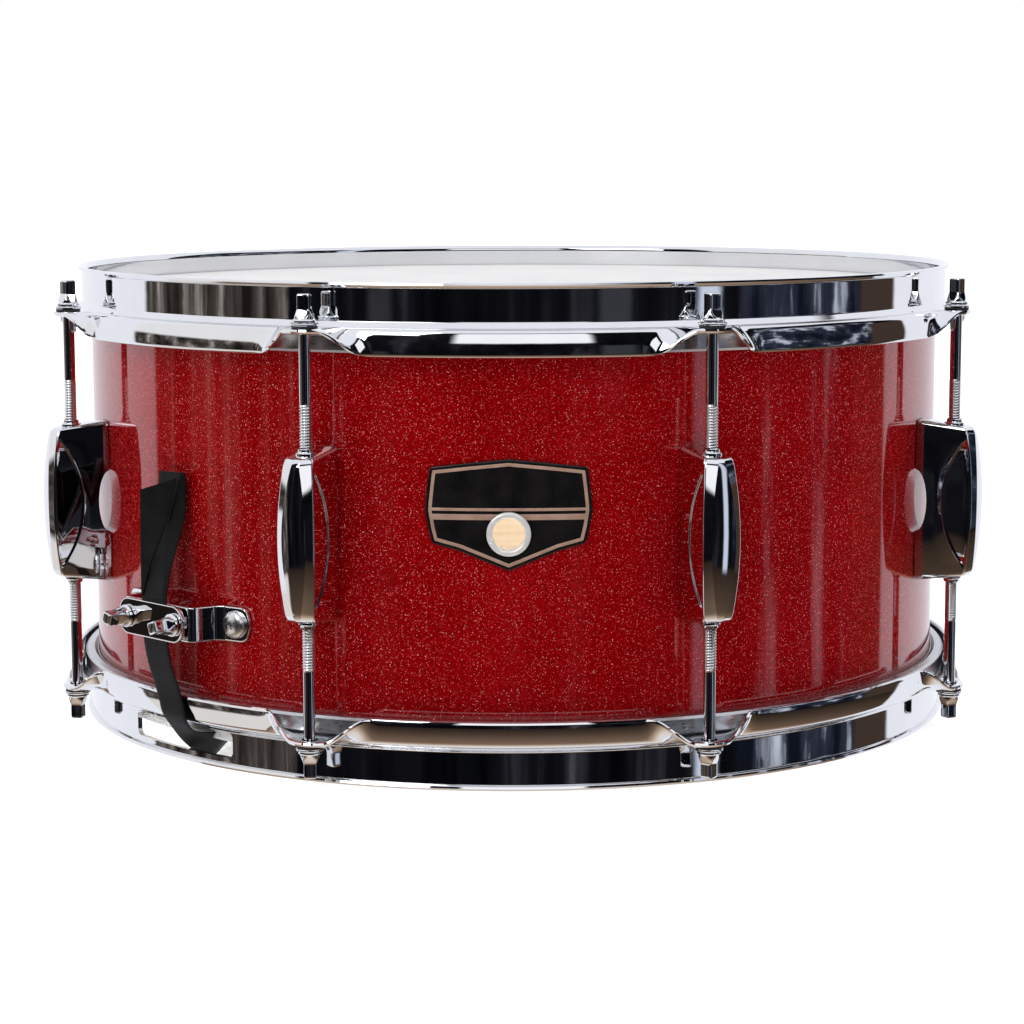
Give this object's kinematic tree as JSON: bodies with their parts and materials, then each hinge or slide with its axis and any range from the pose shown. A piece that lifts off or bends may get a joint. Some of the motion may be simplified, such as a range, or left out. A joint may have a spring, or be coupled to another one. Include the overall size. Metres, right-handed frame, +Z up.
{
  "type": "snare drum",
  "caption": "Fourteen-inch snare drum with red sparkle shell, chrome triple-flanged hoops, double-ended lugs, square-headed tension rods, snare wires and a lever throw-off.",
  "frame": {"origin": "centre of the bottom hoop's rim, on the surface that the drum stands on", "axes": "+Z up the drum's axis towards the batter head, -Y towards the badge, +X to the right when facing the badge"},
  "size_m": [0.3786, 0.3786, 0.185],
  "materials": {
    "chrome": "mirror-bright chrome plate",
    "red_sparkle_wrap": "deep red sparkle wrap with gold and pink flakes under a clear gloss",
    "maple_shell": "clear-sealed ply, satin",
    "coated_head": "white coated film",
    "clear_head": "hazy clear film",
    "aluminium": "satin",
    "spring_steel": "drawn wire, bright",
    "badge_black": "black enamel with a copper border",
    "strap_ribbon": "black woven ribbon, satin"
  },
  "bodies": {
    "drum": {"shell": "maple_shell", "shell_wrap": "red_sparkle_wrap", "batter_head": "coated_head", "batter_flesh_hoop": "aluminium", "snare_side_head": "clear_head", "snare_side_flesh_hoop": "aluminium", "top_hoop": "chrome", "bottom_hoop": "chrome", "lug_1": "chrome", "lug_2": "chrome", "lug_3": "chrome", "lug_4": "chrome", "lug_5": "chrome", "lug_6": "chrome", "lug_7": "chrome", "lug_8": "chrome", "badge": "badge_black", "vent_grommet": "chrome", "butt_bracket": "chrome", "butt_clamp_plate": "chrome", "butt_mount_screw_left": "chrome", "butt_mount_screw_right": "chrome", "butt_strap": "strap_ribbon", "strainer_base": "chrome", "strainer_lever_pin": "spring_steel", "strainer_mount_screw_lower": "chrome", "strainer_mount_screw_upper": "chrome"},
    "top_tension_rod_1": {"top_tension_rod_1": "chrome"},
    "top_tension_rod_2": {"top_tension_rod_2": "chrome"},
    "top_tension_rod_3": {"top_tension_rod_3": "chrome"},
    "top_tension_rod_4": {"top_tension_rod_4": "chrome"},
    "top_tension_rod_5": {"top_tension_rod_5": "chrome"},
    "top_tension_rod_6": {"top_tension_rod_6": "chrome"},
    "top_tension_rod_7": {"top_tension_rod_7": "chrome"},
    "top_tension_rod_8": {"top_tension_rod_8": "chrome"},
    "bottom_tension_rod_1": {"bottom_tension_rod_1": "chrome"},
    "bottom_tension_rod_2": {"bottom_tension_rod_2": "chrome"},
    "bottom_tension_rod_3": {"bottom_tension_rod_3": "chrome"},
    "bottom_tension_rod_4": {"bottom_tension_rod_4": "chrome"},
    "bottom_tension_rod_5": {"bottom_tension_rod_5": "chrome"},
    "bottom_tension_rod_6": {"bottom_tension_rod_6": "chrome"},
    "bottom_tension_rod_7": {"bottom_tension_rod_7": "chrome"},
    "bottom_tension_rod_8": {"bottom_tension_rod_8": "chrome"},
    "butt_clamp_screw_left": {"butt_clamp_screw_left": "chrome"},
    "butt_clamp_screw_right": {"butt_clamp_screw_right": "chrome"},
    "strainer_lever": {"strainer_lever": "chrome"},
    "strainer_carriage": {"strainer_carriage": "chrome", "strainer_clamp_plate": "chrome"},
    "strainer_clamp_screw_left": {"strainer_clamp_screw_left": "chrome"},
    "strainer_clamp_screw_right": {"strainer_clamp_screw_right": "chrome"},
    "strainer_tension_knob": {"strainer_tension_knob": "chrome"},
    "snare_wires": {"snare_wires": "spring_steel", "snare_end_plate_strainer": "spring_steel", "snare_end_plate_butt": "spring_steel", "strainer_strap": "strap_ribbon"}
  },
  "joints": [
    {"name": "top_tuning_1", "type": "hinge", "parent": "drum", "child": "top_tension_rod_1", "pos_m": [0.07294, -0.17609, 0.169], "axis": [0, 0, 1], "continuous": true},
    {"name": "top_tuning_2", "type": "hinge", "parent": "drum", "child": "top_tension_rod_2", "pos_m": [0.17609, -0.07294, 0.169], "axis": [0, 0, 1], "continuous": true},
    {"name": "top_tuning_3", "type": "hinge", "parent": "drum", "child": "top_tension_rod_3", "pos_m": [0.17609, 0.07294, 0.169], "axis": [0, 0, 1], "continuous": true},
    {"name": "top_tuning_4", "type": "hinge", "parent": "drum", "child": "top_tension_rod_4", "pos_m": [0.07294, 0.17609, 0.169], "axis": [0, 0, 1], "continuous": true},
    {"name": "top_tuning_5", "type": "hinge", "parent": "drum", "child": "top_tension_rod_5", "pos_m": [-0.07294, 0.17609, 0.169], "axis": [0, 0, 1], "continuous": true},
    {"name": "top_tuning_6", "type": "hinge", "parent": "drum", "child": "top_tension_rod_6", "pos_m": [-0.17609, 0.07294, 0.169], "axis": [0, 0, 1], "continuous": true},
    {"name": "top_tuning_7", "type": "hinge", "parent": "drum", "child": "top_tension_rod_7", "pos_m": [-0.17609, -0.07294, 0.169], "axis": [0, 0, 1], "continuous": true},
    {"name": "top_tuning_8", "type": "hinge", "parent": "drum", "child": "top_tension_rod_8", "pos_m": [-0.07294, -0.17609, 0.169], "axis": [0, 0, 1], "continuous": true},
    {"name": "bottom_tuning_1", "type": "hinge", "parent": "drum", "child": "bottom_tension_rod_1", "pos_m": [0.07294, -0.17609, 0.016], "axis": [0, 0, 1], "continuous": true},
    {"name": "bottom_tuning_2", "type": "hinge", "parent": "drum", "child": "bottom_tension_rod_2", "pos_m": [0.17609, -0.07294, 0.016], "axis": [0, 0, 1], "continuous": true},
    {"name": "bottom_tuning_3", "type": "hinge", "parent": "drum", "child": "bottom_tension_rod_3", "pos_m": [0.17609, 0.07294, 0.016], "axis": [0, 0, 1], "continuous": true},
    {"name": "bottom_tuning_4", "type": "hinge", "parent": "drum", "child": "bottom_tension_rod_4", "pos_m": [0.07294, 0.17609, 0.016], "axis": [0, 0, 1], "continuous": true},
    {"name": "bottom_tuning_5", "type": "hinge", "parent": "drum", "child": "bottom_tension_rod_5", "pos_m": [-0.07294, 0.17609, 0.016], "axis": [0, 0, 1], "continuous": true},
    {"name": "bottom_tuning_6", "type": "hinge", "parent": "drum", "child": "bottom_tension_rod_6", "pos_m": [-0.17609, 0.07294, 0.016], "axis": [0, 0, 1], "continuous": true},
    {"name": "bottom_tuning_7", "type": "hinge", "parent": "drum", "child": "bottom_tension_rod_7", "pos_m": [-0.17609, -0.07294, 0.016], "axis": [0, 0, 1], "continuous": true},
    {"name": "bottom_tuning_8", "type": "hinge", "parent": "drum", "child": "bottom_tension_rod_8", "pos_m": [-0.07294, -0.17609, 0.016], "axis": [0, 0, 1], "continuous": true},
    {"name": "butt_clamp_left_turn", "type": "hinge", "parent": "drum", "child": "butt_clamp_screw_left", "pos_m": [-0.14694, -0.12671, 0.0555], "axis": [-0.7071, -0.7071, 0], "continuous": true},
    {"name": "butt_clamp_right_turn", "type": "hinge", "parent": "drum", "child": "butt_clamp_screw_right", "pos_m": [-0.12671, -0.14694, 0.0555], "axis": [-0.7071, -0.7071, 0], "continuous": true},
    {"name": "lever_throw", "type": "hinge", "parent": "drum", "child": "strainer_lever", "pos_m": [0.13576, 0.13576, 0.0905], "axis": [-0.7071, 0.7071, 0], "range_deg": [0, 90]},
    {"name": "carriage_slide", "type": "slide", "parent": "drum", "child": "strainer_carriage", "axis": [0, 0, 1], "range_m": [-0.003, 0]},
    {"name": "strainer_clamp_left_turn", "type": "hinge", "parent": "strainer_carriage", "child": "strainer_clamp_screw_left", "pos_m": [0.14574, 0.13074, 0.0455], "axis": [0.7071, 0.7071, 0], "continuous": true},
    {"name": "strainer_clamp_right_turn", "type": "hinge", "parent": "strainer_carriage", "child": "strainer_clamp_screw_right", "pos_m": [0.13074, 0.14574, 0.0455], "axis": [0.7071, 0.7071, 0], "continuous": true},
    {"name": "tension_knob_turn", "type": "hinge", "parent": "drum", "child": "strainer_tension_knob", "pos_m": [0.13067, 0.13067, 0.1045], "axis": [0, 0, 1], "continuous": true},
    {"name": "snare_drop", "type": "slide", "parent": "drum", "child": "snare_wires", "axis": [0, 0, 1], "range_m": [-0.003, 0]}
  ],
  "couplings": [
    {"joint": "carriage_slide", "follows": "lever_throw", "m_per_rad": -0.0019099},
    {"joint": "snare_drop", "follows": "lever_throw", "m_per_rad": -0.0019099}
  ]
}
